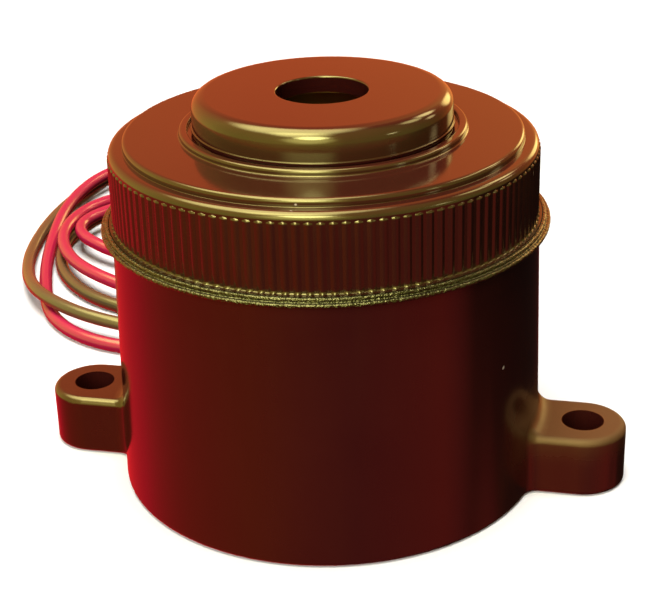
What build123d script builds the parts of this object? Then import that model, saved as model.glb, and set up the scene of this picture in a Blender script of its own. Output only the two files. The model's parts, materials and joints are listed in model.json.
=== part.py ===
from build123d import *
import math
import os

# Electronic buzzer: a moulded cup with two mounting ears, a pressed-on ribbed cap with a sound hole,
# a piezo disc clamped under the cap, a small driver board below it and two free leads.
# Millimetres, +Z up, origin at the centre of the base, ears along X, leads leave towards +Y.

# Housing: the cavity sets its width, and the neck, shoulder and base stand out from it in turn
cavity_radius = 12.6
neck_wall = 1.25
shoulder_width = 1.15
wall_taper = 0.4
shoulder_height = 19.2
floor_thickness = 2.0
neck_height = 3.0
base_edge_radius = 0.35

# Mounting ears
ear_reach = 3.2
ear_hole_radius = 1.5
ear_end_radius = 3.1
ear_height = 4.5
ear_root_radius = 1.1
ear_top_radius = 0.5
match_gap = 0.01

# Cap: lip, ribbed band, tier, raised ring and sound hat
cap_fit = 0.05
lip_overhang = 0.75
lip_step = 0.3
lip_lower_height = 0.3
lip_height = 0.6
lip_edge_radius = 0.12
skirt_thickness = 0.95
band_height = 6.0
band_edge_radius = 0.65
tier_inset = 1.0
tier_height = 0.55
tier_edge_radius = 0.35
groove_width = 0.35
raised_ring_height = 0.45
raised_ring_width = 0.6
ring_edge_radius = 0.25
ring_inner_edge_radius = 0.125
groove_rise = 0.1
hat_radius = 9.0
hat_height = 2.71
hat_edge_radius = 0.95
hat_bead = 0.08
hat_bead_height = 0.22
sound_hole_radius = 3.18
hole_edge_radius = 0.12
cap_roof = 1.2

# Ribs round the band
rib_count = 120
rib_rise = 0.25
rib_root_width = 0.5
rib_crown_width = 0.26
rib_end_gap = 0.2
rib_end_slope = 0.25

# Piezo disc and its seal
seal_thickness = 0.4
disc_inset = 0.35
disc_thickness = 0.25
clamp_width = 1.1
ceramic_inset = 2.4
ceramic_thickness = 0.25
electrode_margin = 0.6
electrode_thickness = 0.1
tongue_width = 2.6
tongue_length = 5.6
tongue_gap = 0.6

# Driver board on three posts
board_gap = 0.4
board_thickness = 1.2
board_height = 8.0
post_radius = 1.2
post_inset = 2.3
pin_radius = 0.5
pin_fit = 0.1
pin_rise = 0.8
leg_radius = 0.25
leg_fit = 0.1
joint_radius = 0.55
joint_tip_radius = 0.35
joint_height = 0.6

# Parts on the board
transistor_radius = 2.35
transistor_flat = 1.3
transistor_body_height = 4.6
transistor_standoff = 1.8
transistor_pitch = 1.27
coil_flange_radius = 3.3
coil_flange_thickness = 0.9
coil_core_radius = 1.5
coil_winding_radius = 2.75
coil_body_height = 7.4
coil_leg_pitch = 4.4
winding_fit = 0.02
resistor_radius = 0.85
resistor_length = 3.4
resistor_pitch = 6.0
resistor_waist = 0.12
resistor_end_length = 0.7
resistor_taper_length = 0.21
resistor_standoff = 0.25
diode_radius = 0.95
diode_length = 3.8
capacitor_radius = 2.5
capacitor_body_height = 6.6
capacitor_bung_height = 0.8
capacitor_leg_pitch = 2.0
capacitor_groove = 0.2
bend_radius = 0.6
part_edge_radius = 0.2

# Inner wires to the disc
wire_radius = 0.3
wire_bend_radius = 1.5
wire_end_run = 2.6
wire_rise = 4.6
feedback_wire_rise = 9.2
disc_joint_height = 0.5
plate_pad_inset = 3.2
plate_joint_gap = 1.3

# Free leads
lead_radius = 0.6
lead_hole_fit = 0.05
lead_hole_offset = 1.1
lead_hole_height = 3.6
lead_inner_length = 3.0
lead_core_radius = 0.3
lead_core_bend = 0.8
lead_core_run = 1.6
lead_tip_length = 4.0
seal_block_depth = 1.6
seal_block_margin = 0.6
lead_straight = 3.2
lead_arc_share = 0.45

# Routes of the leads behind the housing, after the straight stretch out of their holes
red_lead_route = [
    (-1.8, 27.8, 2.5), (-3.7, 36.6, 1.0), (-9.8, 43.7, 0.6), (-18.8, 47.3, 0.8), (-27.9, 47.5, 1.9),
    (-34.1, 43.8, 1.9), (-35.5, 36.1, 1.9), (-32.4, 28.7, 1.9), (-26.1, 23.6, 1.9), (-17.4, 21.7, 1.0),
    (-8.4, 22.7, 0.6), (-0.1, 26.7, 0.6), (3.8, 34.2, 0.6), (2.7, 43.2, 0.6), (-2.3, 51.3, 0.6),
    (-10.8, 57.0, 0.6), (-21.0, 58.8, 0.8), (-30.2, 57.5, 1.9), (-36.5, 52.8, 1.9), (-37.8, 43.5, 1.6),
    (-36.2, 34.1, 0.6), (-33.2, 25.1, 0.6), (-29.3, 17.0, 0.6), (-22.1, 12.9, 0.6), (-12.6, 14.4, 0.6),
    (-3.5, 17.2, 0.6), (4.8, 21.0, 0.6), (10.4, 29.2, 0.6), (9.8, 38.7, 1.9), (3.9, 46.3, 2.1),
    (-6.0, 48.8, 2.2), (-15.8, 47.6, 2.3), (-24.5, 45.5, 2.1), (-32.1, 42.4, 1.9), (-34.5, 35.7, 1.9),
    (-28.8, 31.0, 1.7), (-21.4, 30.0, 0.8), (-14.2, 31.2, 0.7),
]
dark_lead_route = [
    (0.8, 27.9, 2.5), (-0.7, 37.3, 1.0), (-6.2, 45.0, 0.6), (-15.6, 49.8, 0.6), (-25.0, 50.4, 0.6),
    (-32.3, 46.5, 0.6), (-35.4, 38.9, 0.6), (-34.1, 30.6, 0.6), (-29.6, 24.0, 0.6), (-23.1, 20.5, 0.6),
    (-14.7, 19.6, 0.6), (-6.4, 20.8, 0.6), (2.0, 24.3, 0.6), (6.9, 31.8, 0.6), (6.1, 41.5, 0.6),
    (1.0, 51.0, 0.6), (-7.6, 58.6, 0.6), (-18.2, 62.3, 0.6), (-28.8, 61.5, 0.6), (-36.4, 57.1, 0.6),
    (-38.7, 46.9, 0.6), (-38.4, 36.7, 0.6), (-36.1, 27.5, 0.8), (-31.4, 19.5, 2.0), (-23.9, 15.3, 1.9),
    (-15.2, 15.9, 1.0), (-6.4, 18.5, 0.6), (1.6, 21.9, 0.6), (7.4, 27.0, 0.6), (8.7, 34.5, 0.6),
    (7.5, 42.0, 0.6), (3.8, 49.4, 0.6), (-1.8, 55.7, 0.6),
]

# Radii that follow, from the cavity outwards and back over the cap
neck_radius = cavity_radius + neck_wall
shoulder_radius = neck_radius + shoulder_width
base_radius = shoulder_radius + wall_taper
ear_hole_distance = base_radius + ear_reach
skirt_radius = neck_radius + cap_fit
lip_radius = shoulder_radius + lip_overhang
lip_step_radius = lip_radius - lip_step
band_root_radius = skirt_radius + skirt_thickness
rib_crown_radius = band_root_radius + rib_rise
tier_radius = band_root_radius - tier_inset
raised_ring_radius = hat_radius + groove_width + raised_ring_width
disc_radius = neck_radius - disc_inset
clamp_radius = disc_radius - clamp_width
ceramic_radius = clamp_radius - ceramic_inset
electrode_radius = ceramic_radius - electrode_margin
board_radius = cavity_radius - board_gap
post_distance = cavity_radius - post_inset

# Heights that follow
neck_top = shoulder_height + neck_height
disc_bottom = neck_top + seal_thickness
disc_top = disc_bottom + disc_thickness
ceramic_bottom = disc_bottom - ceramic_thickness
electrode_bottom = ceramic_bottom - electrode_thickness
band_top = shoulder_height + band_height
tier_top = band_top + tier_height
ring_top = tier_top + raised_ring_height
hat_top = tier_top + hat_height
board_top = board_height + board_thickness

# Places on the board, seen from above
post_angles = (30, 150, 270)
coil_place = (-4.6, 2.7)
capacitor_place = (5.0, 3.0)
transistor_place = (0.0, -6.6)
resistor_places = {"base_resistor": (-5.4, -2.5), "bias_resistor": (-5.2, -5.3), "load_resistor": (5.2, -5.3)}
diode_place = (5.2, -2.5)
plate_wire_pad = (0.4, cavity_radius - plate_pad_inset)
drive_wire_pad = (0.5, 5.2)
feedback_wire_pad = (0.6, 0.4)
plate_wire_joint = (0.0, ceramic_radius + plate_joint_gap)
drive_wire_joint = (2.6, 6.4)
feedback_wire_joint = (tongue_length / 2 - electrode_radius, 0.0)


def upright_bar(radius, low, high, place=(0.0, 0.0)):
    """Round bar along Z between two heights."""
    return Pos(place[0], place[1], (low + high) / 2) * Cylinder(radius, high - low)


def upright_cone(low_radius, high_radius, low, high, place=(0.0, 0.0)):
    """Round cone along Z between two heights."""
    return Pos(place[0], place[1], (low + high) / 2) * Cone(low_radius, high_radius, high - low)


def tube_along(points, radii, radius):
    """Round wire of one radius along straight runs joined by arcs."""
    path = FilletPolyline(*points, radius=radii)
    section = Plane(origin=path @ 0, z_dir=path % 0) * Circle(radius)
    return sweep(section, path=path)


def turned(outline):
    """Solid of revolution about Z from an outline of radius and height."""
    return revolve(Plane.XZ * make_face(Polyline(*outline, close=True)), axis=Axis.Z)


def polar(radius, degrees):
    """Place at a distance from the axis, in a direction seen from above."""
    angle = math.radians(degrees)
    return (radius * math.cos(angle), radius * math.sin(angle))


def make_housing():
    """Cup with a tapered wall, two ears flush with the base, three board posts and two lead holes."""
    ears = extrude(SlotCenterToCenter(2 * ear_hole_distance, 2 * ear_end_radius), ear_height)
    ears = fillet(ears.faces().sort_by(Axis.Z)[-1].edges(), ear_top_radius)
    wall = upright_cone(base_radius, shoulder_radius, 0, shoulder_height)
    cup = ears + wall
    roots = cup.edges().filter_by(is_ear_root)
    cup = fillet(roots, ear_root_radius)
    cup = fillet(cup.faces().sort_by(Axis.Z)[0].edges(), base_edge_radius)
    cup += upright_bar(neck_radius, shoulder_height, neck_top)
    cup -= upright_bar(cavity_radius, floor_thickness, neck_top)
    for side in (-1, 1):
        cup -= upright_bar(ear_hole_radius, 0, ear_height, (side * ear_hole_distance, 0))
        cup -= lead_bore(side)
    for angle in post_angles:
        place = polar(post_distance, angle)
        cup += upright_bar(post_radius, floor_thickness, board_height, place)
        cup += upright_bar(pin_radius, board_height, board_top + pin_rise, place)
    return cup


def is_ear_root(edge):
    """True for the edges where an ear meets the wall: they start on it, above the base."""
    start = edge @ 0
    on_wall = math.hypot(start.X, start.Y) < base_radius + match_gap
    return on_wall and match_gap < edge.bounding_box().max.Z < ear_height + match_gap


def lead_bore(side):
    """Straight hole for one lead through the back wall."""
    length = base_radius - cavity_radius + 2 * lead_radius
    bore = Rot(90, 0, 0) * Cylinder(lead_radius + lead_hole_fit, length)
    return Pos(side * lead_hole_offset, (cavity_radius + base_radius) / 2, lead_hole_height) * bore


def cap_outline():
    """Half section of the cap, from the bottom of the skirt round the outside and back inside."""
    step_height = shoulder_height + lip_lower_height
    lip_top = shoulder_height + lip_height
    ring_inner = raised_ring_radius - raised_ring_width
    groove_floor = tier_top + groove_rise
    bead_low = ring_top - hat_bead
    bead_high = bead_low + hat_bead_height
    hat_cavity = hat_radius - cap_roof
    return [
        (skirt_radius, shoulder_height),
        (lip_radius, shoulder_height),
        (lip_radius, step_height),
        (lip_step_radius, step_height),
        (lip_step_radius, lip_top),
        (band_root_radius, lip_top),
        (band_root_radius, band_top),
        (tier_radius, band_top),
        (tier_radius, tier_top),
        (raised_ring_radius, tier_top),
        (raised_ring_radius, ring_top),
        (ring_inner, ring_top),
        (ring_inner, groove_floor),
        (hat_radius - hat_bead, groove_floor),
        (hat_radius - hat_bead, bead_low),
        (hat_radius + hat_bead, bead_low),
        (hat_radius + hat_bead, bead_high),
        (hat_radius, bead_high),
        (hat_radius, hat_top),
        (sound_hole_radius, hat_top),
        (sound_hole_radius, hat_top - cap_roof),
        (hat_cavity, hat_top - cap_roof),
        (hat_cavity, tier_top - cap_roof),
        (clamp_radius, tier_top - cap_roof),
        (clamp_radius, disc_top),
        (skirt_radius, disc_top),
    ]


def make_rib():
    """One raised rib on the band at +X, with sloping flanks and ends."""
    low = shoulder_height + lip_height + rib_end_gap
    high = band_top - band_edge_radius
    root, crown = rib_root_width / 2, rib_crown_width / 2
    inside = band_root_radius - rib_rise
    flanks = Polyline(
        (inside, -root), (band_root_radius, -root), (rib_crown_radius, -crown),
        (rib_crown_radius, crown), (band_root_radius, root), (inside, root), close=True,
    )
    ends = Polyline(
        (inside, low), (band_root_radius, low), (rib_crown_radius, low + rib_end_slope),
        (rib_crown_radius, high - rib_end_slope), (band_root_radius, high), (inside, high), close=True,
    )
    upright = extrude(Pos(0, 0, low) * make_face(flanks), high - low)
    across = extrude(Plane.XZ * make_face(ends), rib_root_width, both=True)
    return upright & across


def make_cap():
    """Cap turned from its half section, with rounded edges and ribs all round the band."""
    face = make_face(Polyline(*cap_outline(), close=True))
    for (radius, height), rounding in cap_roundings():
        corner = face.vertices().sort_by_distance((radius, height, 0))[0]
        face = fillet(corner, rounding)
    cap = revolve(Plane.XZ * face, axis=Axis.Z)
    rib = make_rib()
    ribs = [Rot(0, 0, turn * 360 / rib_count) * rib for turn in range(rib_count)]
    return cap + ribs


def cap_roundings():
    """Corners of the cap's half section that are rounded, each with its radius."""
    step_height = shoulder_height + lip_lower_height
    return [
        ((lip_radius, shoulder_height), lip_edge_radius),
        ((lip_radius, step_height), lip_edge_radius),
        ((lip_step_radius, shoulder_height + lip_height), lip_edge_radius),
        ((band_root_radius, band_top), band_edge_radius),
        ((tier_radius, tier_top), tier_edge_radius),
        ((raised_ring_radius, ring_top), ring_edge_radius),
        ((raised_ring_radius - raised_ring_width, ring_top), ring_inner_edge_radius),
        ((hat_radius, hat_top), hat_edge_radius),
        ((sound_hole_radius, hat_top), hole_edge_radius),
    ]


def make_seal_ring():
    """Soft ring between the housing's neck and the disc."""
    ring = upright_bar(disc_radius, neck_top, disc_bottom)
    return ring - upright_bar(cavity_radius, neck_top, disc_bottom)


def make_electrodes():
    """Silver layer under the ceramic: a large drive field and a separate feedback tongue."""
    layer = upright_bar(electrode_radius, electrode_bottom, ceramic_bottom)
    gap = tongue_bar(tongue_length + tongue_gap, tongue_width + 2 * tongue_gap)
    tongue = tongue_bar(tongue_length, tongue_width)
    return layer - gap, layer & tongue


def tongue_bar(depth, width):
    """Flat bar at the electrodes' height that reaches in from beyond their edge at -X to a depth."""
    length = depth + electrode_radius
    inner_end = depth - electrode_radius
    height = (electrode_bottom + ceramic_bottom) / 2
    return Pos(inner_end - length / 2, 0, height) * Box(length, width, electrode_thickness)


def make_board(leg_places):
    """Round board with holes for the post pins, the part legs and the lead cores."""
    board = upright_bar(board_radius, board_height, board_top)
    for angle in post_angles:
        board -= upright_bar(pin_radius + pin_fit, board_height, board_top, polar(post_distance, angle))
    for place in leg_places:
        board -= upright_bar(leg_radius + leg_fit, board_height, board_top, place)
    for side in (-1, 1):
        board -= upright_bar(lead_core_radius + leg_fit, board_height, board_top, lead_core_place(side))
    return board


def lead_core_place(side):
    """Where one lead's bared end goes up through the board."""
    return (side * lead_hole_offset, cavity_radius - lead_inner_length - lead_core_run)


def solder_cone(place, face_height, height):
    """Solder joint on a flat face, standing up or hanging down from it."""
    if height > 0:
        return upright_cone(joint_radius, joint_tip_radius, face_height, face_height + height, place)
    return upright_cone(joint_tip_radius, joint_radius, face_height + height, face_height, place)


def leg_pair(place, pitch):
    """Places of two legs, side by side along X."""
    return [(place[0] - pitch / 2, place[1]), (place[0] + pitch / 2, place[1])]


def make_axial_leads(place, pitch, length, height):
    """Two wires that leave a lying part's ends and bend down through the board."""
    leads = []
    for side in (-1, 1):
        start = (place[0] + side * length / 2, place[1], height)
        corner = (place[0] + side * pitch / 2, place[1], height)
        end = (corner[0], corner[1], board_height)
        leads.append(tube_along([start, corner, end], [bend_radius], leg_radius))
    return leads


def make_resistor_body(place):
    """Lying resistor body with slightly fuller ends."""
    half = resistor_length / 2
    end_inside = half - resistor_end_length
    waist_end = end_inside - resistor_taper_length
    waist = resistor_radius - resistor_waist
    outline = [
        (0, -half), (resistor_radius, -half), (resistor_radius, -end_inside), (waist, -waist_end),
        (waist, waist_end), (resistor_radius, end_inside), (resistor_radius, half), (0, half),
    ]
    body = turned(outline)
    rims = body.edges().filter_by(GeomType.CIRCLE).group_by(Axis.Z)
    body = fillet(rims[0] + rims[-1], part_edge_radius)
    height = board_top + resistor_standoff + resistor_radius
    return Pos(place[0], place[1], height) * Rot(0, 90, 0) * body


def make_diode_body():
    """Lying diode body, a plain barrel."""
    body = Cylinder(diode_radius, diode_length)
    body = fillet(body.edges().filter_by(GeomType.CIRCLE), part_edge_radius)
    height = board_top + resistor_standoff + diode_radius
    return Pos(diode_place[0], diode_place[1], height) * Rot(0, 90, 0) * body


def make_transistor():
    """Half-round moulded body with a flat front, and three straight legs."""
    low = board_top + transistor_standoff
    body = upright_bar(transistor_radius, low, low + transistor_body_height, transistor_place)
    front = transistor_place[1] - transistor_flat - transistor_radius
    cutter = Box(4 * transistor_radius, 2 * transistor_radius, 2 * transistor_body_height)
    body -= Pos(transistor_place[0], front, low + transistor_body_height / 2) * cutter
    body = fillet(body.faces().sort_by(Axis.Z)[-1].edges(), part_edge_radius)
    legs = [upright_bar(leg_radius, board_height, low, place) for place in transistor_leg_places()]
    return body, legs


def transistor_leg_places():
    """Three legs in a row along X."""
    return [(transistor_place[0] + step * transistor_pitch, transistor_place[1]) for step in (-1, 0, 1)]


def make_coil():
    """Drum core with a winding between its flanges, on two legs."""
    low, high = board_top, board_top + coil_body_height
    inner_low, inner_high = low + coil_flange_thickness, high - coil_flange_thickness
    core = upright_bar(coil_flange_radius, low, inner_low, coil_place)
    core += upright_bar(coil_core_radius, inner_low, inner_high, coil_place)
    core += upright_bar(coil_flange_radius, inner_high, high, coil_place)
    winding = upright_bar(coil_winding_radius, inner_low, inner_high, coil_place)
    winding -= upright_bar(coil_core_radius + winding_fit, inner_low, inner_high, coil_place)
    places = leg_pair(coil_place, coil_leg_pitch)
    legs = [upright_bar(leg_radius, board_height, low, place) for place in places]
    return core, winding, legs


def make_capacitor():
    """Can with a rolled groove above its rubber bung, on two legs."""
    low, high = board_top, board_top + capacitor_body_height
    groove = low + capacitor_bung_height
    outer, neck = capacitor_radius, capacitor_radius - capacitor_groove
    can = turned([
        (0, groove), (neck - capacitor_groove, groove), (neck - capacitor_groove, low), (outer, low),
        (outer, groove - capacitor_groove), (neck, groove + capacitor_groove / 2),
        (outer, groove + 2 * capacitor_groove), (outer, high), (0, high),
    ])
    can = fillet(can.faces().sort_by(Axis.Z)[-1].edges(), part_edge_radius)
    can = Pos(capacitor_place[0], capacitor_place[1], 0) * can
    bung = upright_bar(neck - capacitor_groove - winding_fit, low, groove, capacitor_place)
    places = leg_pair(capacitor_place, capacitor_leg_pitch)
    legs = [upright_bar(leg_radius, board_height, low, place) for place in places]
    return can, bung, legs


def make_disc_wire(pad, joint, rise, end_height):
    """Thin wire from a pad on the board up to a joint under the disc."""
    bend = board_top + rise
    over = end_height - wire_end_run
    points = [(*pad, board_top), (*pad, bend), (*joint, over), (*joint, end_height)]
    return tube_along(points, [wire_bend_radius, wire_bend_radius], wire_radius)


def make_lead_core(side):
    """Bared inner end of a lead, bent up through the board."""
    x, y = lead_core_place(side)
    start = (x, y + lead_core_run, lead_hole_height)
    points = [start, (x, y, lead_hole_height), (x, y, board_top)]
    return tube_along(points, [lead_core_bend], lead_core_radius)


def lead_points(side, route):
    """Whole route of one lead, from its inner end straight out through its hole and along its loops."""
    x = side * lead_hole_offset
    inner = (x, cavity_radius - lead_inner_length, lead_hole_height)
    outer = (x, base_radius + lead_straight, lead_hole_height)
    return [inner, outer] + route


def arc_radii(points):
    """Radius of the arc at each corner: a share of the shorter run over the tangent of half the turn."""
    radii = []
    for before, here, after in zip(points, points[1:], points[2:]):
        arriving = Vector(*here) - Vector(*before)
        leaving = Vector(*after) - Vector(*here)
        half_turn = math.radians(arriving.get_angle(leaving)) / 2
        radii.append(lead_arc_share * min(arriving.length, leaving.length) / math.tan(half_turn))
    return radii


def make_lead(name, side, route):
    """Insulated lead and the tinned tip that goes on straight from its far end."""
    points = lead_points(side, route)
    radii = arc_radii(points)
    lead = tube_along(points, radii, lead_radius)
    length = lead.volume / (math.pi * lead_radius ** 2)
    print(name, "length", round(length, 1), "arc radii", [round(radius, 1) for radius in radii])
    end = Vector(*points[-1])
    along = (end - Vector(*points[-2])).normalized()
    tip = extrude(Plane(origin=end, z_dir=along) * Circle(lead_core_radius), lead_tip_length)
    return lead, tip


def make_lead_seal():
    """Sealing compound round both leads on the inside of the back wall."""
    width = 2 * (lead_hole_offset + lead_radius + seal_block_margin)
    height = 2 * (lead_radius + seal_block_margin)
    depth = 2 * seal_block_depth
    block = Pos(0, cavity_radius, lead_hole_height) * Box(width, depth, height)
    block &= upright_bar(cavity_radius, 0, neck_top)
    for side in (-1, 1):
        bore = Rot(90, 0, 0) * Cylinder(lead_radius + winding_fit, 4 * seal_block_depth)
        block -= Pos(side * lead_hole_offset, cavity_radius, lead_hole_height) * bore
    return block


def main():
    """Build every piece and write one file for each."""
    parts = {}
    parts["housing"] = make_housing()
    parts["cap"] = make_cap()
    parts["diaphragm_plate"] = upright_bar(disc_radius, disc_bottom, disc_top)
    parts["piezo_ceramic"] = upright_bar(ceramic_radius, ceramic_bottom, disc_bottom)
    parts["drive_electrode"], parts["feedback_electrode"] = make_electrodes()
    parts["disc_seal_ring"] = make_seal_ring()
    leg_places = transistor_leg_places()
    leg_places += leg_pair(coil_place, coil_leg_pitch) + leg_pair(capacitor_place, capacitor_leg_pitch)
    leg_places += leg_pair(diode_place, resistor_pitch)
    for place in resistor_places.values():
        leg_places += leg_pair(place, resistor_pitch)
    parts["circuit_board"] = make_board(leg_places)
    parts["transistor_body"], parts["transistor_legs"] = make_transistor()
    parts["coil_core"], parts["coil_winding"], parts["coil_legs"] = make_coil()
    parts["capacitor_can"], parts["capacitor_bung"], parts["capacitor_legs"] = make_capacitor()
    axis_height = board_top + resistor_standoff + resistor_radius
    for name, place in resistor_places.items():
        parts[name] = make_resistor_body(place)
        parts[name + "_leads"] = make_axial_leads(place, resistor_pitch, resistor_length, axis_height)
    parts["diode_body"] = make_diode_body()
    diode_height = board_top + resistor_standoff + diode_radius
    parts["diode_leads"] = make_axial_leads(diode_place, resistor_pitch, diode_length, diode_height)
    parts["board_solder_joints"] = [solder_cone(place, board_height, -joint_height) for place in leg_places]
    core_places = [lead_core_place(side) for side in (-1, 1)]
    parts["lead_solder_joints"] = [solder_cone(place, board_top, joint_height) for place in core_places]
    parts["disc_solder_joints"] = []
    for name, pad, joint, rise, face_height in (
        ("plate_wire", plate_wire_pad, plate_wire_joint, wire_rise, disc_bottom),
        ("drive_wire", drive_wire_pad, drive_wire_joint, wire_rise, electrode_bottom),
        ("feedback_wire", feedback_wire_pad, feedback_wire_joint, feedback_wire_rise, electrode_bottom),
    ):
        parts["disc_solder_joints"].append(solder_cone(joint, face_height, -disc_joint_height))
        parts[name] = make_disc_wire(pad, joint, rise, face_height - disc_joint_height)
    parts["lead_seal"] = make_lead_seal()
    for name, side, route in (("red_lead", -1, red_lead_route), ("dark_lead", 1, dark_lead_route)):
        parts[name], parts[name + "_tip"] = make_lead(name, side, route)
        parts[name + "_core"] = make_lead_core(side)
    os.makedirs("parts", exist_ok=True)
    for name, shape in parts.items():
        solid = Compound(children=shape) if isinstance(shape, list) else shape
        export_step(solid, f"parts/{name}.step")


main()
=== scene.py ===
import json
import math

import bpy
from mathutils import Matrix, Vector


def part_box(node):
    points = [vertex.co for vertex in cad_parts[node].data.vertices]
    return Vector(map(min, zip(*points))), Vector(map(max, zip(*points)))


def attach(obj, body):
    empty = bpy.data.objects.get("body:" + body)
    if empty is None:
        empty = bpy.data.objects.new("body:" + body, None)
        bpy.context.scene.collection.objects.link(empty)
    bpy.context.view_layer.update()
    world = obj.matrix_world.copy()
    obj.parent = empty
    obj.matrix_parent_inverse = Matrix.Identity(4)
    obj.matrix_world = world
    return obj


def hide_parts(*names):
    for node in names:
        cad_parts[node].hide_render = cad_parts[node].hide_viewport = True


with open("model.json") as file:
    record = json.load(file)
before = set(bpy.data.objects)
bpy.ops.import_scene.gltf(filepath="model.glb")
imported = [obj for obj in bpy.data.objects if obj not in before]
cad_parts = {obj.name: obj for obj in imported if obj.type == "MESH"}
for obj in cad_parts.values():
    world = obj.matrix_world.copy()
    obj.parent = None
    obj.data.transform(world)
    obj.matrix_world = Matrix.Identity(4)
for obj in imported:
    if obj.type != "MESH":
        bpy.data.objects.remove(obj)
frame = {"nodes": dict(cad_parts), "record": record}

bl_info = {
    "name": "Electronic buzzer",
    "version": (1, 0, 0),
    "blender": (4, 5, 0),
    "location": "3D View > Sidebar > Buzzer",
    "description": "Dresses the packed buzzer: ribbed cap, glossy shell, loose leads and the stage",
    "category": "Object",
}

# Points of the two leads, from inside the wall out through their holes and round their loops,
# and the length of each lead
RED_LENGTH = 0.3422
RED_ROUTE = [
    (-0.0011, 0.0096, 0.0036), (-0.0011, 0.0186, 0.0036), (-0.0018, 0.0278, 0.0025),
    (-0.0037, 0.0366, 0.001), (-0.0098, 0.0437, 0.0006), (-0.0188, 0.0473, 0.0008),
    (-0.0279, 0.0475, 0.0019), (-0.0341, 0.0438, 0.0019), (-0.0355, 0.0361, 0.0019),
    (-0.0324, 0.0287, 0.0019), (-0.0261, 0.0236, 0.0019), (-0.0174, 0.0217, 0.001),
    (-0.0084, 0.0227, 0.0006), (-0.0001, 0.0267, 0.0006), (0.0038, 0.0342, 0.0006),
    (0.0027, 0.0432, 0.0006), (-0.0023, 0.0513, 0.0006), (-0.0108, 0.057, 0.0006),
    (-0.021, 0.0588, 0.0008), (-0.0302, 0.0575, 0.0019), (-0.0365, 0.0528, 0.0019),
    (-0.0378, 0.0435, 0.0016), (-0.0362, 0.0341, 0.0006), (-0.0332, 0.0251, 0.0006),
    (-0.0293, 0.017, 0.0006), (-0.0221, 0.0129, 0.0006), (-0.0126, 0.0144, 0.0006),
    (-0.0035, 0.0172, 0.0006), (0.0048, 0.021, 0.0006), (0.0104, 0.0292, 0.0006), (0.0098, 0.0387, 0.0019),
    (0.0039, 0.0463, 0.0021), (-0.006, 0.0488, 0.0022), (-0.0158, 0.0476, 0.0023),
    (-0.0245, 0.0455, 0.0021), (-0.0321, 0.0424, 0.0019), (-0.0345, 0.0357, 0.0019),
    (-0.0288, 0.031, 0.0017), (-0.0214, 0.03, 0.0008), (-0.0142, 0.0312, 0.0007),
]
DARK_LENGTH = 0.3054
DARK_ROUTE = [
    (0.0011, 0.0096, 0.0036), (0.0011, 0.0186, 0.0036), (0.0008, 0.0279, 0.0025), (-0.0007, 0.0373, 0.001),
    (-0.0062, 0.045, 0.0006), (-0.0156, 0.0498, 0.0006), (-0.025, 0.0504, 0.0006),
    (-0.0323, 0.0465, 0.0006), (-0.0354, 0.0389, 0.0006), (-0.0341, 0.0306, 0.0006),
    (-0.0296, 0.024, 0.0006), (-0.0231, 0.0205, 0.0006), (-0.0147, 0.0196, 0.0006),
    (-0.0064, 0.0208, 0.0006), (0.002, 0.0243, 0.0006), (0.0069, 0.0318, 0.0006), (0.0061, 0.0415, 0.0006),
    (0.001, 0.051, 0.0006), (-0.0076, 0.0586, 0.0006), (-0.0182, 0.0623, 0.0006),
    (-0.0288, 0.0615, 0.0006), (-0.0364, 0.0571, 0.0006), (-0.0387, 0.0469, 0.0006),
    (-0.0384, 0.0367, 0.0006), (-0.0361, 0.0275, 0.0008), (-0.0314, 0.0195, 0.002),
    (-0.0239, 0.0153, 0.0019), (-0.0152, 0.0159, 0.001), (-0.0064, 0.0185, 0.0006),
    (0.0016, 0.0219, 0.0006), (0.0074, 0.027, 0.0006), (0.0087, 0.0345, 0.0006), (0.0075, 0.042, 0.0006),
    (0.0038, 0.0494, 0.0006), (-0.0018, 0.0557, 0.0006),
]

# Height of the ears' tops
EAR_TOP = 0.0045
# Distance of an ear's hole from the Z axis, and a radius round it that takes in the hole's wall
EAR_HOLE_PLACE = 0.0186
EAR_HOLE_REACH = 0.00153

# The cap's outer radii, from its lip in to its hat
LIP_RADIUS, LIP_STEP_RADIUS, BAND_RADIUS, TIER_RADIUS = 0.01575, 0.01545, 0.01485, 0.01385
RING_RADIUS, RING_INNER_RADIUS, GROOVE_RADIUS = 0.00995, 0.00935, 0.00892
BEAD_RADIUS, HAT_RADIUS = 0.00908, 0.009
# The cap's inner radii: its hole, its sound chamber, the clamp on the disc and the skirt round the neck
SOUND_HOLE_RADIUS, CHAMBER_RADIUS, CLAMP_RADIUS, SKIRT_RADIUS = 0.00318, 0.0078, 0.0124, 0.0139

# Heights between which the ears' satin, the blur beside the right ear and the scuffs' end come in
EAR_TOP_FADE = (EAR_TOP - 0.0006, EAR_TOP - 0.0004)
BLUR_FADE = (0.002, EAR_TOP)
SCUFF_FADE = (0.006, 0.0105)
# Distances along X between which the right side and the wall beside the right ear come in
RIGHT_SIDE_FADE = (0.011, 0.0135)
BESIDE_EAR_FADE = (0.0135, 0.0149)
# Radii between which the ears, the cap's lip, its band and the outside of its sound hole come in
EAR_ROOT_FADE = (0.0153, 0.0163)
LIP_FADE = (0.01515, 0.01525)
BAND_FADE = (0.01479, 0.01484)
SOUND_HOLE_FADE = (0.00305, 0.00325)

# Repeats in a metre of the patterns in the moulded plastic
CLOUD_SCALE, GRAIN_SCALE, MARK_SCALE = 160.0, 5200.0, 700.0
SPECK_SCALE, DUST_SCALE, NICK_SCALE = 420.0, 380.0, 4200.0

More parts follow.
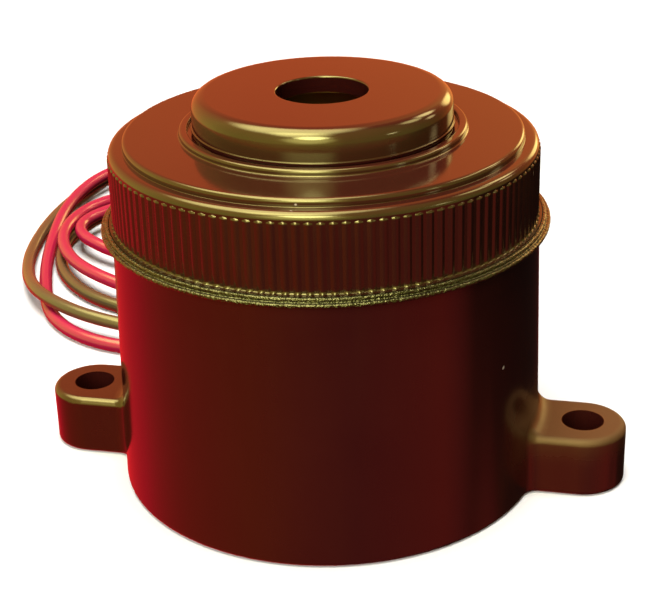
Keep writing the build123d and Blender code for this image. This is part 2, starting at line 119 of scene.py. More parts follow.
# The room round the part, as azimuth in degrees and colour: above the table's edge, and the table itself
ROOM = [
    (-180, (1.5, 0.38, 0.08)), (-165, (1.27, 0.22, 0.055)), (-144, (1.3, 0.34, 0.08)),
    (-120, (1.7, 0.8, 0.16)), (-96, (1.9, 1.45, 0.22)), (-60, (1.6, 1.5, 0.18)), (-10, (2.0, 1.85, 0.24)),
    (18, (1.7, 1.6, 0.2)), (30, (0.95, 0.9, 0.13)), (85, (0.8, 0.78, 0.12)), (105, (0.6, 0.5, 0.08)),
    (130, (0.6, 0.22, 0.04)), (150, (1.05, 0.24, 0.05)), (168, (1.75, 0.6, 0.13)),
]
TABLE = [
    (-180, (0.12, 0.01, 0.01)), (-160, (1.0, 0.03, 0.03)), (-110, (1.5, 0.02, 0.05)),
    (-72, (1.0, 0.04, 0.02)), (-30, (0.8, 0.07, 0.01)), (0, (0.5, 0.04, 0.03)), (25, (0.35, 0.03, 0.04)),
    (75, (0.75, 0.05, 0.04)), (84, (0.5, 0.04, 0.04)), (96, (0.02, 0.012, 0.01)), (165, (0.02, 0.01, 0.008)),
]
# Elevations in degrees between which the table gives way to the room
TABLE_EDGE = (-17.0, -9.0)
# What the camera itself sees past the floor
BACKDROP = (0.86, 0.85, 0.83, 1.0)
# Lamps and windows: azimuth, elevation, radius of the even core and of the outer edge in degrees, and colour
LAMPS = [
    (2.0, 38.0, 8.0, 15.0, (24.0, 23.0, 8.0)),
    (0.0, 18.0, 6.0, 26.0, (6.0, 5.6, 1.5)),
    (-18.0, 60.0, 6.0, 24.0, (10.0, 9.0, 3.0)),
    (-85.0, 74.0, 12.0, 36.0, (11.0, 10.0, 3.6)),
    (74.0, 11.0, 2.0, 5.0, (9.0, 8.0, 3.5)),
    (124.0, 20.0, 2.0, 7.0, (5.5, 4.3, 1.8)),
    (141.0, 37.0, 3.0, 10.0, (9.0, 7.4, 2.9)),
    (118.0, 42.0, 3.0, 11.0, (6.0, 5.2, 1.9)),
    (161.0, 12.0, 4.0, 13.0, (5.5, 4.2, 1.3)),
    (105.0, -40.0, 6.0, 14.0, (0.5, 0.03, 0.03)),
]

# Height that the soft lights face, and how far the floor lies under the base
LIGHT_AIM = 0.015
FLOOR_GAP = 0.00002

# Finishes of the inner pieces: colour, roughness, metallic, and repeats of its clouds in a metre
WORKS = {
    "brass_disc": ((0.55, 0.36, 0.12), 0.32, 1.0, 900.0),
    "ceramic_disc": ((0.62, 0.58, 0.50), 0.6, 0.0, 900.0),
    "silver_layer": ((0.78, 0.77, 0.74), 0.45, 0.9, 900.0),
    "silicone": ((0.55, 0.55, 0.52), 0.5, 0.0, 500.0),
    "board_laminate": ((0.42, 0.25, 0.09), 0.55, 0.0, 1500.0),
    "black_moulding": ((0.016, 0.016, 0.017), 0.45, 0.0, 2500.0),
    "tinned_wire": ((0.66, 0.65, 0.63), 0.3, 1.0, 2500.0),
    "ferrite": ((0.05, 0.045, 0.042), 0.65, 0.0, 2500.0),
    "copper_winding": ((0.58, 0.20, 0.07), 0.35, 0.8, 1800.0),
    "can_metal": ((0.30, 0.32, 0.36), 0.35, 0.7, 900.0),
    "bung_rubber": ((0.02, 0.02, 0.02), 0.7, 0.0, 900.0),
    "resistor_lacquer": ((0.52, 0.40, 0.24), 0.4, 0.0, 900.0),
    "solder": ((0.62, 0.62, 0.60), 0.28, 1.0, 2500.0),
    "thin_wire_insulation": ((0.6, 0.58, 0.1), 0.4, 0.0, 900.0),
}


def length_property(name, description, default):
    """A size in metres that the panel shows in the scene's unit."""
    return bpy.props.FloatProperty(
        name=name, description=description, default=default, min=0.0, precision=5, unit="LENGTH"
    )


def colour_property(name, description, default):
    """A linear colour."""
    return bpy.props.FloatVectorProperty(
        name=name, description=description, default=default, size=3, min=0.0, soft_max=1.0, subtype="COLOR"
    )


class StageSettings(bpy.types.PropertyGroup):
    """The camera, the floor and the light."""

    aim: bpy.props.FloatVectorProperty(
        name="Aim", description="Point that the middle of the picture looks at",
        default=(-0.0000884, 0.0002345, 0.0125447), size=3, precision=5, unit="LENGTH",
    )
    distance: length_property("Distance", "From the aim to the camera", 0.115)
    azimuth: bpy.props.FloatProperty(
        name="Azimuth", description="Turn of the camera round the part", default=math.radians(13.212),
        unit="ROTATION",
    )
    elevation: bpy.props.FloatProperty(
        name="Elevation", description="Height of the camera above the horizon", default=math.radians(24.519),
        unit="ROTATION",
    )
    roll: bpy.props.FloatProperty(
        name="Roll", description="Tilt of the picture", default=math.radians(1.659), unit="ROTATION"
    )
    lens: bpy.props.FloatProperty(
        name="Lens", description="Focal length for a sensor 36 mm wide", default=87.12, min=1.0
    )
    floor_colour: colour_property("Floor colour", "Plain pale floor", (0.9, 0.9, 0.92))
    floor_size: length_property("Floor size", "Side of the square floor", 6.0)
    top_power: bpy.props.FloatProperty(
        name="Top light", description="Power of the soft light overhead", default=5.6, min=0.0, unit="POWER"
    )
    side_power: bpy.props.FloatProperty(
        name="Side light", description="Power of the soft light at the front left", default=2.1, min=0.0,
        unit="POWER",
    )


class ShellSettings(bpy.types.PropertyGroup):
    """The glossy moulded plastic of the housing and the cap."""

    colour: colour_property("Plastic", "Dark maroon of the mouldings", (0.038, 0.0058, 0.004))
    roughness: bpy.props.FloatProperty(
        name="Roughness", description="Blur of the reflections", default=0.11, min=0.0, max=1.0
    )
    cup_roughness: bpy.props.FloatProperty(
        name="Cup roughness", description="Blur of the reflections in the more satin cup", default=0.14,
        min=0.0, max=1.0,
    )
    dust: bpy.props.FloatProperty(
        name="Dust", description="Share of the surface that carries pale specks", default=0.36,
        min=0.0, max=1.0,
    )


class CapSettings(bpy.types.PropertyGroup):
    """The turned cap and the ribs round its band."""

    steps: bpy.props.IntProperty(name="Steps", description="Faces round the cap", default=432, min=24)
    rib_count: bpy.props.IntProperty(name="Ribs", description="Ribs round the band", default=120, min=12)
    rib_rise: length_property("Rib rise", "How far a rib stands out of the band", 0.00012)
    rib_width: length_property("Rib width", "Width of a rib at its root", 0.00072)
    rib_flare: length_property("Rib flare", "How far a rib's foot spreads onto the lip", 0.0001)
    lip_wear: length_property("Lip wear", "Unevenness of the moulded lip", 0.00006)
    # Painted olive reflection tone, darker than the plastic, laid fully on the lip and more thinly on the
    # band
    lip_painted_olive_tone: colour_property("Lip soil", "Olive grime on the lip", (0.008, 0.006, 0.002))


class LeadSettings(bpy.types.PropertyGroup):
    """The two insulated leads."""

    diameter: length_property("Diameter", "Over the insulation", 0.0012)
    red: colour_property("Red lead", "Insulation of the red lead", (0.46, 0.012, 0.062))
    dark: colour_property("Dark lead", "Insulation of the olive brown lead", (0.10, 0.068, 0.030))


class Wire:
    """An output of a node. In an expression it adds the Math nodes that work the expression out."""

    def __init__(self, graph, socket):
        self.graph = graph
        self.socket = socket

    def out(self, name):
        """Another output of the same node."""
        return Wire(self.graph, self.socket.node.outputs[name])

    def __add__(self, other):
        return self.graph.maths("ADD", self, other)

    __radd__ = __add__

    def __sub__(self, other):
        return self.graph.maths("SUBTRACT", self, other)

    def __rsub__(self, other):
        return self.graph.maths("SUBTRACT", other, self)

    def __mul__(self, other):
        return self.graph.maths("MULTIPLY", self, other)

    __rmul__ = __mul__

    def __truediv__(self, other):
        return self.graph.maths("DIVIDE", self, other)

    def above(self, limit):
        """One where the value is over a limit, and nought elsewhere."""
        return self.graph.maths("GREATER_THAN", self, limit)

    def below(self, limit):
        """One where the value is under a limit, and nought elsewhere."""
        return self.graph.maths("LESS_THAN", self, limit)


class Graph:
    """A node tree under construction."""

    def __init__(self, tree):
        self.tree = tree

    def node(self, kind, settings=None, values=None):
        """A node of a type, with its settings made first and then the values or links of its inputs."""
        made = self.tree.nodes.new(kind)
        for name, value in (settings or {}).items():
            if name == "stops":
                self.set_stops(made.color_ramp, value)
            else:
                setattr(made, name, value)
        for name, value in (values or {}).items():
            self.feed(made.inputs[name], value)
        first = next((socket for socket in made.outputs if socket.enabled), None)
        return Wire(self, first) if first else made

    def feed(self, socket, value):
        """Link or set one input."""
        if isinstance(value, Wire):
            self.tree.links.new(value.socket, socket)
        else:
            socket.default_value = value

    @staticmethod
    def set_stops(ramp, stops):
        """Places and colours of a colour ramp."""
        while len(ramp.elements) < len(stops):
            ramp.elements.new(1.0)
        for element, (place, colour) in zip(ramp.elements, stops):
            element.position = place
            element.color = colour

    def maths(self, operation, *values):
        """One Math node on these values."""
        return self.node("ShaderNodeMath", {"operation": operation}, dict(enumerate(values)))

    def mix(self, factor, first, second):
        """Colours mixed by a factor, in the node's colour sockets, which are 6, 7 and 2."""
        return self.node("ShaderNodeMix", {"data_type": "RGBA"}, {0: factor, 6: first, 7: second}).out(2)

    def ease(self, value, low, high):
        """Rises smoothly from nought to one between two values."""
        settings = {"interpolation_type": "SMOOTHSTEP"}
        return self.node("ShaderNodeMapRange", settings, {0: value, 1: low, 2: high, 3: 0.0, 4: 1.0})

    def noise(self, place, scale, detail=2.0, roughness=0.5):
        """Cloudy value from nought to one."""
        values = {"Vector": place, "Scale": scale, "Detail": detail, "Roughness": roughness}
        return self.node("ShaderNodeTexNoise", {}, values)

    def stretched(self, place, scale):
        """A place scaled by three numbers."""
        return self.node("ShaderNodeVectorMath", {"operation": "MULTIPLY"}, {0: place, 1: scale})

    def levelled(self, place):
        """A place moved down or up to height nought."""
        return self.stretched(place, (1.0, 1.0, 0.0))

    def length(self, vector):
        """How long a vector is."""
        return self.node("ShaderNodeVectorMath", {"operation": "LENGTH"}, {0: vector}).out("Value")

    def split(self, vector):
        """The three numbers of a vector."""
        parts = self.node("ShaderNodeSeparateXYZ", {}, {"Vector": vector})
        return [parts.out(name) for name in "XYZ"]


def rgba(colour, times=1.0):
    """A linear colour with alpha, made lighter or darker."""
    return (colour[0] * times, colour[1] * times, colour[2] * times, 1.0)


def new_finish(name):
    """An empty material with a Principled surface, its graph and its object coordinates."""
    material = bpy.data.materials.new(name)
    material.use_nodes = True
    material.node_tree.nodes.clear()
    graph = Graph(material.node_tree)
    surface = graph.node("ShaderNodeBsdfPrincipled")
    graph.node("ShaderNodeOutputMaterial", {}, {"Surface": surface})
    place = graph.node("ShaderNodeTexCoord").out("Object")
    return material, graph, surface.socket.node.inputs, place


def clouded(graph, clouds, colour, dark, light):
    """A colour that drifts between a darker and a lighter tone."""
    return graph.mix(clouds, rgba(colour, dark), rgba(colour, light))


def bump(graph, height, strength, distance, under=None):
    """A normal that follows a height, on top of another normal where one is given."""
    values = {"Height": height, "Strength": strength, "Distance": distance}
    if under:
        values["Normal"] = under
    return graph.node("ShaderNodeBump", {}, values)


def beyond(graph, place, low, high):
    """Rises from nought to one between two distances from the Z axis."""
    return graph.ease(graph.length(graph.levelled(place)), low, high)


def cup_wear(graph, place):
    """The cup's extra roughness: satin ear tops, and scuffs round the right ear, most beside its root.

    The cup has no painted olive reflection tone and no nicks.
    """
    satin, right_satin, scuffs, blur = 0.06, 0.22, 0.07, 0.15
    across, along, height = graph.split(place)
    right = graph.ease(across, *RIGHT_SIDE_FADE)
    from_hole = graph.node("ShaderNodeCombineXYZ", {}, {
        "X": graph.maths("ABSOLUTE", across) - EAR_HOLE_PLACE, "Y": along,
    })
    solid = 1.0 - graph.length(from_hole).below(EAR_HOLE_REACH)
    top = graph.ease(height, *EAR_TOP_FADE) * solid
    ears = beyond(graph, place, *EAR_ROOT_FADE) * top * (satin + right_satin * right)
    beside = graph.ease(across, *BESIDE_EAR_FADE) * graph.ease(height, *BLUR_FADE) * solid
    scuffed = right * (1.0 - graph.ease(height, *SCUFF_FADE)) * (scuffs + blur * beside)
    return ears + scuffed, None, None


def cap_wear_and_painted_olive(graph, place):
    """The cap's extra roughness, its painted olive reflection tone and its nicks: a little on the band, most
    on the lip.
    """
    # The third number is the band's share of the painted olive reflection tone; the lip takes all of it
    lip_satin, band_satin, band_painted_olive = 0.02, 0.07, 0.35
    lip = beyond(graph, place, *LIP_FADE)
    band = beyond(graph, place, *BAND_FADE) * (1.0 - lip)
    return lip * lip_satin + band * band_satin, lip + band * band_painted_olive, lip


def shell_finish(name, settings, roughness, streaks, find_wear_and_painted_olive, painted_olive_tone=(0.0, 0.0, 0.0)):
    """Moulded plastic with fine grain and dust, with painted shade inside the sound hole, and with wear and a
    painted olive reflection tone where a function of the place finds them.
    """
    speck_radius, speck_colour, speck_roughness = 0.07, (0.5, 0.42, 0.34, 1.0), 0.4
    dust_free, dust_spread = 0.72, 0.3
    hole_shade = 0.3
    material, graph, inputs, place = new_finish(name)
    clouds = graph.noise(place, CLOUD_SCALE, detail=3.0)
    grain = graph.noise(place, GRAIN_SCALE)
    marks = graph.noise(graph.stretched(place, streaks), MARK_SCALE, detail=3.0, roughness=0.6)
    cells = graph.node("ShaderNodeTexVoronoi", {"feature": "F1"}, {"Vector": place, "Scale": SPECK_SCALE})
    dusty = graph.noise(place, DUST_SCALE).above(dust_free - dust_spread * settings.dust)
    speck = cells.below(speck_radius) * dusty
    satin, painted_olive, nicked = find_wear_and_painted_olive(graph, place)
    plain = clouded(graph, clouds, settings.colour, dark=0.86, light=1.14)
    # Painted shade: within the sound hole's radius of the Z axis the plastic is darkened to hole_shade of its
    # colour
    plain = graph.mix(beyond(graph, place, *SOUND_HOLE_FADE), rgba(settings.colour, hole_shade), plain)
    # Painted olive reflection tone: the colour is drawn towards a dark olive on the cap's lip and, more
    # thinly, on its band
    if painted_olive:
        plain = graph.mix(painted_olive, plain, rgba(painted_olive_tone))
    graph.feed(inputs["Base Color"], graph.mix(speck, plain, speck_colour))
    uneven = (clouds - 0.5) * 0.06 + (marks - 0.5) * 0.1
    graph.feed(inputs["Roughness"], uneven + roughness + speck * speck_roughness + satin)
    inputs["IOR"].default_value = 1.52
    normal = bump(graph, grain * 0.5 + marks * 0.5, strength=0.2, distance=0.00002)
    if nicked:
        nicks = graph.noise(place, NICK_SCALE, roughness=0.6) * nicked
        normal = bump(graph, nicks, strength=1.0, distance=0.00013, under=normal)
    graph.feed(inputs["Normal"], normal)
    return material


def insulation_finish(name, colour):
    """Smooth flexible insulation, slightly uneven in tone and gloss."""
    material, graph, inputs, place = new_finish(name)
    clouds = graph.noise(place, scale=300.0)
    grain = graph.noise(place, scale=4000.0)
    graph.feed(inputs["Base Color"], clouded(graph, clouds, colour, dark=0.9, light=1.08))
    graph.feed(inputs["Roughness"], 0.2 + (clouds - 0.5) * 0.12)
    inputs["IOR"].default_value = 1.5
    graph.feed(inputs["Normal"], bump(graph, grain, strength=0.15, distance=0.00002))
    return material


def works_finish(name, colour, roughness, metallic, scale):
    """Finish of an inner piece: its own colour, cloudy and slightly uneven."""
    material, graph, inputs, place = new_finish(name)
    clouds = graph.noise(place, scale, detail=3.0)
    graph.feed(inputs["Base Color"], clouded(graph, clouds, colour, dark=0.85, light=1.15))
    graph.feed(inputs["Roughness"], roughness + (clouds - 0.5) * 0.15)
    inputs["Metallic"].default_value = metallic
    graph.feed(inputs["Normal"], bump(graph, clouds, strength=0.3, distance=0.00003))
    return material


def dress(node, material):
    """Give a CAD node a finish."""
    materials = frame["nodes"][node].data.materials
    materials.clear()
    materials.append(material)


def link(name, data):
    """A new object in the scene."""
    piece = bpy.data.objects.new(name, data)
    bpy.context.scene.collection.objects.link(piece)
    return piece


def direction(azimuth, elevation):
    """Unit vector from the part towards an azimuth and elevation in degrees; azimuth 0 is -Y."""
    turn, rise = math.radians(azimuth), math.radians(elevation)
    return Vector((math.sin(turn) * math.cos(rise), -math.cos(turn) * math.cos(rise), math.sin(rise)))


def around(places):
    """Stops of a colour ramp that goes once round the horizon, from azimuths and colours."""
    stops = [((azimuth + 180.0) / 360.0, (*colour, 1.0)) for azimuth, colour in places]
    return stops + [(1.0, stops[0][1])]


def add_light(name, azimuth, elevation, distance, size, power, colour):
    """A soft area light that faces the part. The gloss doesn't mirror it."""
    data = bpy.data.lights.new(name, "AREA")
    data.shape = "DISK"
    data.size = size
    data.energy = power
    data.color = colour
    light = link(name, data)
    way = direction(azimuth, elevation)
    light.location = way * distance + Vector((0.0, 0.0, LIGHT_AIM))
    light.rotation_mode = "QUATERNION"
    light.rotation_quaternion = way.to_track_quat("Z", "Y")
    light.visible_glossy = False


def convert_modifier(piece, name, material):
    """Turn what a piece's modifiers make into a plain mesh on a new object that rides on the root."""
    bpy.context.view_layer.update()
    graph = bpy.context.evaluated_depsgraph_get()
    mesh = bpy.data.meshes.new_from_object(piece.evaluated_get(graph), depsgraph=graph)
    bpy.data.objects.remove(piece)
    mesh.materials.clear()
    mesh.materials.append(material)
    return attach(link(name, mesh), "root")


def new_node_group(name, inputs):
    """An empty Geometry Nodes tree with named inputs, its graph and its input node."""
    tree = bpy.data.node_groups.new(name, "GeometryNodeTree")
    tree.interface.new_socket("Geometry", in_out="OUTPUT", socket_type="NodeSocketGeometry")
    tree.interface.new_socket("Geometry", in_out="INPUT", socket_type="NodeSocketGeometry")
    for label, kind in inputs:
        tree.interface.new_socket(label, in_out="INPUT", socket_type="NodeSocket" + kind)
    graph = Graph(tree)
    return tree, graph, graph.node("NodeGroupInput")


def finish_node_group(graph, geometry, material):
    """Realise, smooth and paint what a tree makes, and send it out."""
    real = graph.node("GeometryNodeRealizeInstances", {}, {"Geometry": geometry})
    smooth = graph.node("GeometryNodeSetShadeSmooth", {}, {"Geometry": real})
    painted = graph.node("GeometryNodeSetMaterial", {}, {"Geometry": smooth, "Material": material})
    graph.node("NodeGroupOutput", {}, {0: painted})


def run_node_group(piece, tree, values):
    """Put a tree on a piece as a modifier, with its inputs set by their identifiers."""
    modifier = piece.modifiers.new(tree.name, "NODES")
    modifier.node_group = tree
    for item in tree.interface.items_tree:
        if item.in_out == "INPUT" and item.name in values:
            modifier[item.identifier] = values[item.name]


def turned_tree():
    """Tree that turns an outline, drawn as radius and height in the XY plane, about the Z axis."""
    # Points nearer to each other than this become one, which closes the seam
    seam = 0.000001
    inputs = [("Steps", "Int"), ("Hub", "Float"), ("Wear", "Float"), ("Wear Low", "Float"),
              ("Wear High", "Float"), ("Wear Radius", "Float"), ("Material", "Material")]
    tree, graph, given = new_node_group("turned_body", inputs)
    outline = graph.node("GeometryNodeMeshToCurve", {}, {"Mesh": given})
    circle = graph.node("GeometryNodeCurvePrimitiveCircle", {}, {
        "Resolution": given.out("Steps"), "Radius": given.out("Hub"),
    })
    path = graph.node("GeometryNodeSetCurveNormal", {"mode": "Z_UP"}, {"Curve": circle})
    body = graph.node("GeometryNodeCurveToMesh", {}, {"Curve": path, "Profile Curve": outline})
    merged = graph.node("GeometryNodeMergeByDistance", {}, {"Geometry": body, "Distance": seam})
    place = graph.node("GeometryNodeInputPosition")
    height = graph.split(place)[2]
    level = graph.levelled(place)
    worn = height.above(given.out("Wear Low")) * height.below(given.out("Wear High"))
    worn = worn * graph.length(level).above(given.out("Wear Radius"))
    ripple = graph.noise(place, scale=1600.0, detail=3.0, roughness=0.8)
    amount = (ripple - 0.5) * worn * given.out("Wear") * 2.0
    outward = graph.node("ShaderNodeVectorMath", {"operation": "NORMALIZE"}, {0: level})
    offset = graph.node("ShaderNodeVectorMath", {"operation": "SCALE"}, {0: outward, "Scale": amount})
    moved = graph.node("GeometryNodeSetPosition", {}, {"Geometry": merged, "Offset": offset})
    finish_node_group(graph, moved, given.out("Material"))
    return tree


def ribs_tree():
    """Tree that stands ribs side by side round a band, with sloping tops and flared feet."""
    # Points up a rib and across it
    rows, files = 24, 7
    # How far a rib's edges lie inside the band, and how much deeper its back lies
    sink, thickness = 0.00003, 0.0001
    # Width of a rib's pointed top, as a share of its full width
    point = 0.2
    inputs = [("Count", "Int"), ("Radius", "Float"), ("Rise", "Float"), ("Width", "Float"), ("Low", "Float"),
              ("High", "Float"), ("Slope", "Float"), ("Flare", "Float"), ("Material", "Material")]
    tree, graph, given = new_node_group("band_ribs", inputs)
    count, low, high, slope = (given.out(name) for name in ("Count", "Low", "High", "Slope"))
    block = graph.node("GeometryNodeMeshCube", {}, {
        "Size": (1.0, 1.0, 1.0), "Vertices X": 2, "Vertices Y": files, "Vertices Z": rows,
    })
    depth, side, rise = graph.split(graph.node("GeometryNodeInputPosition"))
    height = low + (0.5 + graph.maths("SINE", rise * math.pi) * 0.5) * (high - low)
    top = graph.maths("MINIMUM", (high - height) / slope, 1.0)
    foot = 1.0 - graph.maths("MINIMUM", (height - low) / slope, 1.0)
    off_middle = graph.maths("ABSOLUTE", side) * 2.0
    flank = 1.0 - off_middle * off_middle
    stand = flank * flank * (given.out("Rise") * top + given.out("Flare") * foot)
    front = depth.above(0.0)
    radius = given.out("Radius") - sink - (1.0 - front) * thickness + front * stand
    across = side * given.out("Width") * (point + top * top * (1.0 - point))
    place = graph.node("ShaderNodeCombineXYZ", {}, {"X": radius, "Y": across, "Z": height})
    rib = graph.node("GeometryNodeSetPosition", {}, {"Geometry": block, "Position": place})
    points = graph.node("GeometryNodePoints", {}, {"Count": count})
    turn = graph.node("GeometryNodeInputIndex") * (2 * math.pi) / count
    around_axis = graph.node("ShaderNodeCombineXYZ", {}, {"Z": turn})
    ribs = graph.node("GeometryNodeInstanceOnPoints", {}, {
        "Points": points, "Instance": rib, "Rotation": around_axis,
    })
    finish_node_group(graph, ribs, given.out("Material"))
    return tree


def rounded_outline(corners):
    """Closed outline through corners of (radius, height, rounding), with arcs and a point beside each arc."""
    # Turn from one point of an arc to the next, and distance from an arc's end to the point beside it
    step, support = math.radians(15), 0.00004
    # Share of a side that one rounding may take
    most = 0.48
    # Times its rounding's reach that a side needs to have room for a point beside the arc
    roomy = 2.2
    points = []
    count = len(corners)
    for index, (x, y, rounding) in enumerate(corners):
        here = Vector((x, y))
        before = Vector(corners[index - 1][:2]) - here
        after = Vector(corners[(index + 1) % count][:2]) - here
        back, on = before.normalized(), after.normalized()
        turn = math.pi - before.angle(after)
        reach = min(rounding * math.tan(turn / 2), most * before.length, most * after.length)
        radius = reach / math.tan(turn / 2)
        first, last = here + back * reach, here + on * reach
        middle = here + (back + on).normalized() * (radius / math.cos(turn / 2))
        pieces = max(2, math.ceil(turn / step))
        if before.length > roomy * (reach + support):
            points.append(first + back * support)
        start = first - middle
        sign = 1.0 if start.cross(last - middle) > 0 else -1.0
        for piece in range(pieces + 1):
            swing = Matrix.Rotation(sign * turn * piece / pieces, 2)
            points.append(middle + swing @ start)
        if after.length > roomy * (reach + support):
            points.append(last + on * support)
    return points


def cap_corners():
    """Corners of the cap's half section as radius, height and rounding, outside and then inside."""
    low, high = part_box("cap")[0].z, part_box("cap")[1].z
    lip_step, lip_top = low + 0.0003, low + 0.0006
    band_top, tier_top = low + 0.006, low + 0.00655
    ring_top, groove = tier_top + 0.00045, tier_top + 0.0001
    bead_low, bead_top = tier_top + 0.00037, tier_top + 0.00059
    clamp, ledge, roof = low + 0.00365, tier_top - 0.0012, high - 0.0012
    fine = 0.00012
    outside = [
        (SKIRT_RADIUS, low, fine), (LIP_RADIUS, low, fine), (LIP_RADIUS, lip_step, fine),
        (LIP_STEP_RADIUS, lip_step, 0.00005), (LIP_STEP_RADIUS, lip_top, fine),
        (BAND_RADIUS, lip_top, 0.0001), (BAND_RADIUS, band_top, 0.00065),
        (TIER_RADIUS, band_top, 0.00003), (TIER_RADIUS, tier_top, 0.00035),
        (RING_RADIUS, tier_top, 0.0001), (RING_RADIUS, ring_top, 0.00025),
        (RING_INNER_RADIUS, ring_top, 0.00012), (RING_INNER_RADIUS, groove, 0.00005),
        (GROOVE_RADIUS, groove, 0.00005), (GROOVE_RADIUS, bead_low, 0.00003),
        (BEAD_RADIUS, bead_low, 0.00006), (BEAD_RADIUS, bead_top, 0.00008),
        (HAT_RADIUS, bead_top, 0.00003), (HAT_RADIUS, high, 0.00095), (SOUND_HOLE_RADIUS, high, fine),
    ]
    inside = [
        (SOUND_HOLE_RADIUS, roof, 0.00005), (CHAMBER_RADIUS, roof, 0.0001), (CHAMBER_RADIUS, ledge, 0.0001),
        (CLAMP_RADIUS, ledge, 0.0001), (CLAMP_RADIUS, clamp, 0.00005), (SKIRT_RADIUS, clamp, 0.0001),
    ]
    return outside + inside


class BUZZER_OT_stage(bpy.types.Operator):
    """Set up the camera, the pale floor and the soft light"""

    bl_idname = "buzzer.stage"
    bl_label = "Stage"

    def execute(self, context):
        settings = context.scene.buzzer_stage
        self.add_camera(context, settings)
        self.add_floor(settings)
        self.add_lights(settings)
        self.add_surroundings(context)
        return {"FINISHED"}

    def add_camera(self, context, settings):
        """Camera at the photograph's place, with its roll."""
        azimuth, elevation = math.degrees(settings.azimuth), math.degrees(settings.elevation)
        back = direction(azimuth, elevation)
        data = bpy.data.cameras.new("camera")
        data.lens = settings.lens
        data.sensor_width = 36.0
        data.clip_start = 0.005
        camera = link("camera", data)
        camera.rotation_mode = "QUATERNION"
        upright = back.to_track_quat("Z", "Y")
        tilt = Matrix.Rotation(-settings.roll, 3, "Z").to_quaternion()
        camera.rotation_quaternion = upright @ tilt
        camera.location = Vector(settings.aim) + back * settings.distance
        context.scene.camera = camera

    def add_floor(self, settings):
        """Plain floor just under the base. It doesn't show in the part's gloss."""
        half = settings.floor_size / 2
        mesh = bpy.data.meshes.new("floor")
        sides = ((-half, -half), (half, -half), (half, half), (-half, half))
        mesh.from_pydata([(x, y, -FLOOR_GAP) for x, y in sides], [], [(0, 1, 2, 3)])
        material, graph, inputs, place = new_finish("floor")
        clouds = graph.noise(place, scale=3.0)
        graph.feed(inputs["Base Color"], clouded(graph, clouds, settings.floor_colour, dark=0.98, light=1.02))
        inputs["Roughness"].default_value = 0.9
        inputs["Specular IOR Level"].default_value = 0.1
        mesh.materials.append(material)
        floor = link("floor", mesh)
        floor.visible_glossy = False
        floor.visible_diffuse = False
        floor.visible_shadow = False

    def add_lights(self, settings):
        """Soft lights for the body colours."""
        add_light(
            "top_light", azimuth=10.0, elevation=88.0, distance=0.6, size=0.4, power=settings.top_power,
            colour=(1.0, 0.97, 0.92),
        )
        add_light(
            "side_light", azimuth=-12.0, elevation=25.0, distance=0.5, size=0.35, power=settings.side_power,
            colour=(1.0, 0.96, 0.92),
        )

    def add_surroundings(self, context):
        """A lit room that shows only in the gloss, with its lamps and windows."""
        world = bpy.data.worlds.new("surroundings")
        world.use_nodes = True
        world.node_tree.nodes.clear()
        graph = Graph(world.node_tree)
        way = graph.node("ShaderNodeTexCoord").out("Generated")
        x, y, z = graph.split(way)
        turn = graph.maths("ARCTAN2", x, y * -1.0) / (2 * math.pi) + 0.5
        room = graph.node("ShaderNodeValToRGB", {"stops": around(ROOM)}, {"Fac": turn})
        table = graph.node("ShaderNodeValToRGB", {"stops": around(TABLE)}, {"Fac": turn})
        over = graph.ease(z, *(math.sin(math.radians(elevation)) for elevation in TABLE_EDGE))
        colour = graph.mix(over, table, room)
        dotting = {"operation": "DOT_PRODUCT"}
        adding = {"data_type": "RGBA", "blend_type": "ADD"}
        for azimuth, elevation, core, edge, shade in LAMPS:
            aim = tuple(direction(azimuth, elevation))
            near = graph.node("ShaderNodeVectorMath", dotting, {0: way, 1: aim}).out("Value")
            lit = graph.ease(near, math.cos(math.radians(edge)), math.cos(math.radians(core)))
            colour = graph.node("ShaderNodeMix", adding, {0: lit, 6: colour, 7: (*shade, 1.0)}).out(2)
        seen = graph.node("ShaderNodeLightPath").out("Is Camera Ray")
        colour = graph.mix(seen, colour, BACKDROP)
        light = graph.node("ShaderNodeBackground", {}, {"Color": colour, "Strength": 1.0})
        graph.node("ShaderNodeOutputWorld", {}, {"Surface": light})
        context.scene.world = world
        world.cycles_visibility.diffuse = False


class BUZZER_OT_leads(bpy.types.Operator):
    """Lay the two insulated leads along their routes"""

    bl_idname = "buzzer.leads"
    bl_label = "Leads"

    def execute(self, context):
        settings = context.scene.buzzer_leads
        for name, route, colour, slot, length in (
            ("red_lead", RED_ROUTE, settings.red, "red_insulation", RED_LENGTH),
            ("dark_lead", DARK_ROUTE, settings.dark, "dark_insulation", DARK_LENGTH),
        ):
            lead = self.lay(name + "_cord", route, settings.diameter)
            lead.data.materials.append(insulation_finish(slot, colour))
            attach(lead, "root")
            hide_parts(name)
        return {"FINISHED"}

    def lay(self, name, route, diameter):
        """One open spline with a round section."""
        data = bpy.data.curves.new(name, "CURVE")
        data.dimensions = "3D"
        data.bevel_depth = diameter / 2
        data.bevel_resolution = 5
        data.resolution_u = 10
        data.use_fill_caps = True
        spline = data.splines.new("NURBS")
        spline.points.add(len(route) - 1)
        for point, place in zip(spline.points, route):
            point.co = (*place, 1.0)
        spline.order_u = 3
        spline.use_endpoint_u = True
        return link(name, data)


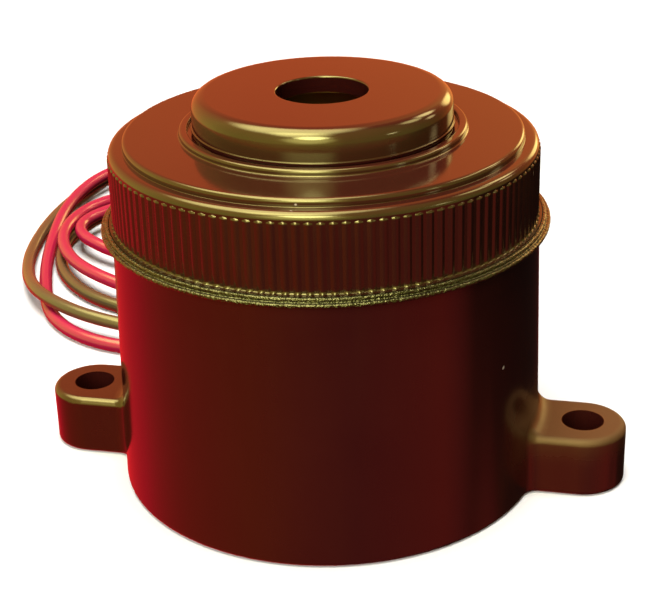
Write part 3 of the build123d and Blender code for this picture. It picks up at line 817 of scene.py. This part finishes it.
class BUZZER_OT_cap(bpy.types.Operator):
    """Turn the cap and stand its ribs round the band"""

    bl_idname = "buzzer.cap"
    bl_label = "Cap"

    def execute(self, context):
        settings, shell = context.scene.buzzer_cap, context.scene.buzzer_shell
        finish = shell_finish(
            "cap_plastic", shell, shell.roughness, (1.0, 1.0, 0.25), cap_wear_and_painted_olive, settings.lip_painted_olive_tone
        )
        body = self.make_shell(settings, finish)
        ribs = self.make_ribs(settings, finish)
        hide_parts("cap")
        return {"FINISHED"}

    def make_shell(self, settings, finish):
        """Turned body of the cap with its slightly uneven lip."""
        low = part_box("cap")[0].z
        # Radius of the small circle that carries the outline round
        hub = 0.001
        # Where the lip is uneven, as two heights from its underside and a radius
        worn_from, worn_to, worn_radius = 0.00001, 0.00055, 0.0152
        outline = rounded_outline(cap_corners())
        mesh = bpy.data.meshes.new("cap_outline")
        count = len(outline)
        points = [(point.x - hub, -point.y, 0.0) for point in outline]
        mesh.from_pydata(points, [(index, (index + 1) % count) for index in range(count)], [])
        piece = link("cap_outline", mesh)
        run_node_group(piece, turned_tree(), {
            "Steps": settings.steps, "Hub": hub, "Wear": settings.lip_wear, "Wear Low": low + worn_from,
            "Wear High": low + worn_to, "Wear Radius": worn_radius, "Material": finish,
        })
        return convert_modifier(piece, "cap_shell", finish)

    def make_ribs(self, settings, finish):
        """Ribs on the band."""
        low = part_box("cap")[0].z
        # A rib's foot and top as heights from the lip's underside, and the height of its sloping ends
        rib_foot, rib_top, slope = 0.00061, 0.00545, 0.00009
        piece = link("ribs_seed", bpy.data.meshes.new("ribs_seed"))
        run_node_group(piece, ribs_tree(), {
            "Count": settings.rib_count, "Radius": BAND_RADIUS, "Rise": settings.rib_rise,
            "Width": settings.rib_width, "Low": low + rib_foot, "High": low + rib_top, "Slope": slope,
            "Flare": settings.rib_flare, "Material": finish,
        })
        return convert_modifier(piece, "cap_ribs", finish)


class BUZZER_OT_housing(bpy.types.Operator):
    """Finish the moulded housing"""

    bl_idname = "buzzer.housing"
    bl_label = "Housing"

    def execute(self, context):
        settings = context.scene.buzzer_shell
        finish = shell_finish("housing_plastic", settings, settings.cup_roughness, (1.0, 1.0, 0.12), cup_wear)
        dress("housing", finish)
        return {"FINISHED"}


class BUZZER_OT_works(bpy.types.Operator):
    """Finish the pieces inside the housing and the bared wires"""

    bl_idname = "buzzer.works"
    bl_label = "Works"

    def execute(self, context):
        finishes = {name: works_finish(name, *values) for name, values in WORKS.items()}
        for part in frame["record"]["subparts"]:
            finish = finishes.get(part["material_slot"])
            if finish:
                dress(part["node"], finish)
        return {"FINISHED"}


class BUZZER_PT_panel(bpy.types.Panel):
    """Sidebar panel with the buzzer's settings and operators"""

    bl_idname = "BUZZER_PT_panel"
    bl_label = "Electronic buzzer"
    bl_space_type = "VIEW_3D"
    bl_region_type = "UI"
    bl_category = "Buzzer"

    def draw(self, context):
        layout = self.layout
        for label, settings, operator in (
            ("Stage", context.scene.buzzer_stage, "buzzer.stage"),
            ("Shell", context.scene.buzzer_shell, "buzzer.housing"),
            ("Cap", context.scene.buzzer_cap, "buzzer.cap"),
            ("Leads", context.scene.buzzer_leads, "buzzer.leads"),
        ):
            box = layout.box()
            box.label(text=label)
            for name in settings.__annotations__:
                box.prop(settings, name)
            box.operator(operator)
        layout.operator("buzzer.works")


SETTINGS = {
    "buzzer_stage": StageSettings,
    "buzzer_shell": ShellSettings,
    "buzzer_cap": CapSettings,
    "buzzer_leads": LeadSettings,
}
CLASSES = [
    *SETTINGS.values(), BUZZER_OT_stage, BUZZER_OT_leads, BUZZER_OT_cap, BUZZER_OT_housing, BUZZER_OT_works,
    BUZZER_PT_panel,
]


def register():
    """Register the classes and hang the settings on the scene."""
    for item in CLASSES:
        bpy.utils.register_class(item)
    for name, item in SETTINGS.items():
        setattr(bpy.types.Scene, name, bpy.props.PointerProperty(type=item))


def unregister():
    """Take the settings and the classes away again."""
    for name in SETTINGS:
        delattr(bpy.types.Scene, name)
    for item in reversed(CLASSES):
        bpy.utils.unregister_class(item)


def main():
    """Make everything in order."""
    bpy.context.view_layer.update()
    register()
    bpy.context.scene.view_settings.view_transform = "Standard"
    bpy.ops.buzzer.stage()
    bpy.ops.buzzer.leads()
    bpy.ops.buzzer.cap()
    bpy.ops.buzzer.housing()
    bpy.ops.buzzer.works()


if __name__ == "__main__":
    main()
